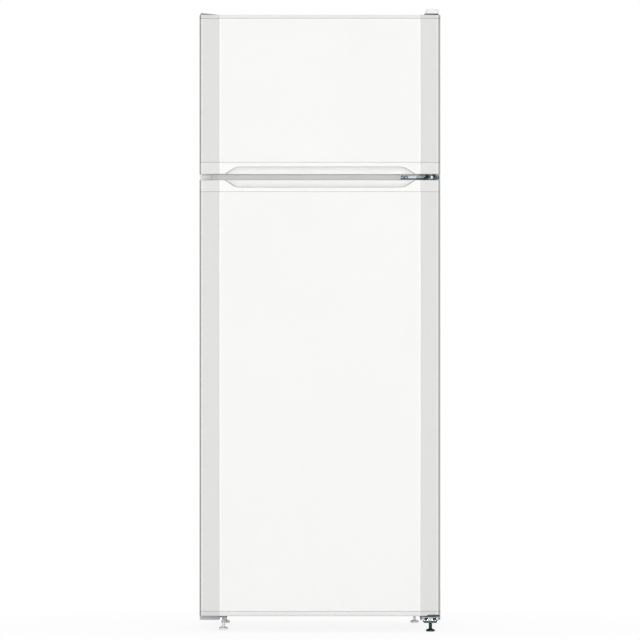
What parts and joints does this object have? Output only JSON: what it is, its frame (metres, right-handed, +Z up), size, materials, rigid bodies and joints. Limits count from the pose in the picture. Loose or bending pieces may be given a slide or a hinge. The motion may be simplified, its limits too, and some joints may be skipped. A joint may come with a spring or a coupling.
{
  "type": "top freezer refrigerator",
  "caption": "Free-standing white two-door refrigerator with the freezer on top, right-hand hinges, recessed grips between the doors and adjustable feet.",
  "frame": {"origin": "on the floor under the middle of the appliance", "axes": "+Z up, the doors face -Y, +X to the right of someone facing the doors"},
  "size_m": [0.55, 0.63, 1.4211],
  "materials": {
    "white_enamel": "smooth semi-gloss white paint",
    "grey_back": "plain satin grey-white coated sheet",
    "cap_plastic": "satin white moulding",
    "liner_plastic": "vacuum-formed white, satin",
    "grey_plastic": "fine-grained grey moulding",
    "dark_plastic": "fine-grained dark moulding",
    "pale_plastic": "pale grey moulding",
    "clear_plastic": "clear crystal moulding",
    "gasket": "soft white sealing profile",
    "foam": "rigid foam, hidden",
    "zinc_steel": "bright zinc-plated pressing",
    "dark_steel": "dark passivated steel",
    "black_enamel": "black baked paint",
    "copper": "bare copper",
    "aluminium": "plain rolled",
    "glass": "clear toughened glass with white trim"
  },
  "bodies": {
    "cabinet": {"cabinet_shell": "white_enamel", "rear_panel": "grey_back", "bottom_plate": "grey_back", "middle_rail": "white_enamel", "fridge_liner": "liner_plastic", "freezer_liner": "liner_plastic", "cabinet_foam": "foam", "evaporator_plate": "aluminium", "base_rail_left": "grey_plastic", "base_rail_right": "grey_plastic", "top_hinge_bracket": "zinc_steel", "top_hinge_cap": "cap_plastic", "top_hole_cover": "grey_plastic", "middle_hinge_bracket": "zinc_steel", "middle_hinge_screw_left": "dark_steel", "middle_hinge_screw_right": "dark_steel", "gap_cover_plug": "grey_plastic", "bottom_hinge_bracket": "zinc_steel", "crisper_cover": "glass", "light_housing": "liner_plastic", "lamp_cover": "clear_plastic", "compressor_tray": "zinc_steel", "mains_gland": "dark_plastic", "compressor": "black_enamel", "relay_cover": "grey_plastic", "evaporation_tray": "pale_plastic", "condenser": "black_enamel", "filter_drier": "copper", "discharge_tube": "black_enamel", "condenser_bracket_left": "grey_plastic", "condenser_bracket_right": "grey_plastic"},
    "fridge_door": {"fridge_door_panel": "white_enamel", "fridge_door_grip_cap": "cap_plastic", "fridge_door_bottom_cap": "cap_plastic", "fridge_door_foam": "foam", "fridge_door_liner": "liner_plastic", "fridge_door_gasket": "gasket"},
    "freezer_door": {"freezer_door_panel": "white_enamel", "freezer_door_grip_cap": "cap_plastic", "freezer_door_top_cap": "cap_plastic", "freezer_door_foam": "foam", "freezer_door_liner": "liner_plastic", "freezer_door_gasket": "gasket"},
    "bottle_rack": {"bottle_rack": "clear_plastic"},
    "middle_rack": {"middle_rack": "clear_plastic"},
    "upper_rack": {"upper_rack": "clear_plastic"},
    "freezer_door_rack": {"freezer_door_rack": "clear_plastic"},
    "lower_shelf": {"glass_shelf_lower": "glass"},
    "middle_shelf": {"glass_shelf_middle": "glass"},
    "upper_shelf": {"glass_shelf_upper": "glass"},
    "left_crisper": {"crisper_left": "clear_plastic"},
    "right_crisper": {"crisper_right": "clear_plastic"},
    "freezer_shelf": {"freezer_shelf": "liner_plastic", "freezing_tray": "clear_plastic"},
    "thermostat": {"thermostat_knob": "pale_plastic"},
    "door_switch": {"door_switch": "liner_plastic"},
    "front_left_foot": {"foot_front_left": "pale_plastic"},
    "rear_left_foot": {"foot_rear_left": "pale_plastic"},
    "rear_right_foot": {"foot_rear_right": "pale_plastic"},
    "front_right_foot": {"foot_front_right": "dark_steel"}
  },
  "joints": [
    {"name": "fridge_door_hinge", "type": "hinge", "parent": "cabinet", "child": "fridge_door", "pos_m": [0.252, -0.287, 0.533], "axis": [0, 0, 1], "range_deg": [0, 115]},
    {"name": "freezer_door_hinge", "type": "hinge", "parent": "cabinet", "child": "freezer_door", "pos_m": [0.252, -0.287, 1.225], "axis": [0, 0, 1], "range_deg": [0, 115]},
    {"name": "thermostat_turn", "type": "hinge", "parent": "cabinet", "child": "thermostat", "pos_m": [-0.055, -0.2156, 0.9881], "axis": [0, -1, 0], "range_deg": [0, 270]},
    {"name": "door_switch_press", "type": "slide", "parent": "cabinet", "child": "door_switch", "axis": [0, 1, 0], "range_m": [0, 0.005], "stiffness_N_per_m": 150, "springref_m": -0.004},
    {"name": "bottle_rack_lift", "type": "slide", "parent": "fridge_door", "child": "bottle_rack", "axis": [0, 0, 1], "range_m": [0, 0.02]},
    {"name": "middle_rack_lift", "type": "slide", "parent": "fridge_door", "child": "middle_rack", "axis": [0, 0, 1], "range_m": [0, 0.02]},
    {"name": "upper_rack_lift", "type": "slide", "parent": "fridge_door", "child": "upper_rack", "axis": [0, 0, 1], "range_m": [0, 0.02]},
    {"name": "freezer_rack_lift", "type": "slide", "parent": "freezer_door", "child": "freezer_door_rack", "axis": [0, 0, 1], "range_m": [0, 0.02]},
    {"name": "lower_shelf_slide", "type": "slide", "parent": "cabinet", "child": "lower_shelf", "axis": [0, -1, 0], "range_m": [0, 0.025]},
    {"name": "middle_shelf_slide", "type": "slide", "parent": "cabinet", "child": "middle_shelf", "axis": [0, -1, 0], "range_m": [0, 0.025]},
    {"name": "upper_shelf_slide", "type": "slide", "parent": "cabinet", "child": "upper_shelf", "axis": [0, -1, 0], "range_m": [0, 0.025]},
    {"name": "left_crisper_slide", "type": "slide", "parent": "cabinet", "child": "left_crisper", "axis": [0, -1, 0], "range_m": [0, 0.02]},
    {"name": "right_crisper_slide", "type": "slide", "parent": "cabinet", "child": "right_crisper", "axis": [0, -1, 0], "range_m": [0, 0.02]},
    {"name": "freezer_shelf_slide", "type": "slide", "parent": "cabinet", "child": "freezer_shelf", "axis": [0, -1, 0], "range_m": [0, 0.045]},
    {"name": "front_left_foot_turn", "type": "hinge", "parent": "cabinet", "child": "front_left_foot", "pos_m": [-0.222, -0.165, 0.02], "axis": [0, 0, 1], "continuous": true},
    {"name": "rear_left_foot_turn", "type": "hinge", "parent": "cabinet", "child": "rear_left_foot", "pos_m": [-0.222, 0.225, 0.02], "axis": [0, 0, 1], "continuous": true},
    {"name": "rear_right_foot_turn", "type": "hinge", "parent": "cabinet", "child": "rear_right_foot", "pos_m": [0.222, 0.225, 0.02], "axis": [0, 0, 1], "continuous": true},
    {"name": "front_right_foot_turn", "type": "hinge", "parent": "cabinet", "child": "front_right_foot", "pos_m": [0.252, -0.287, 0.02], "axis": [0, 0, 1], "continuous": true}
  ]
}
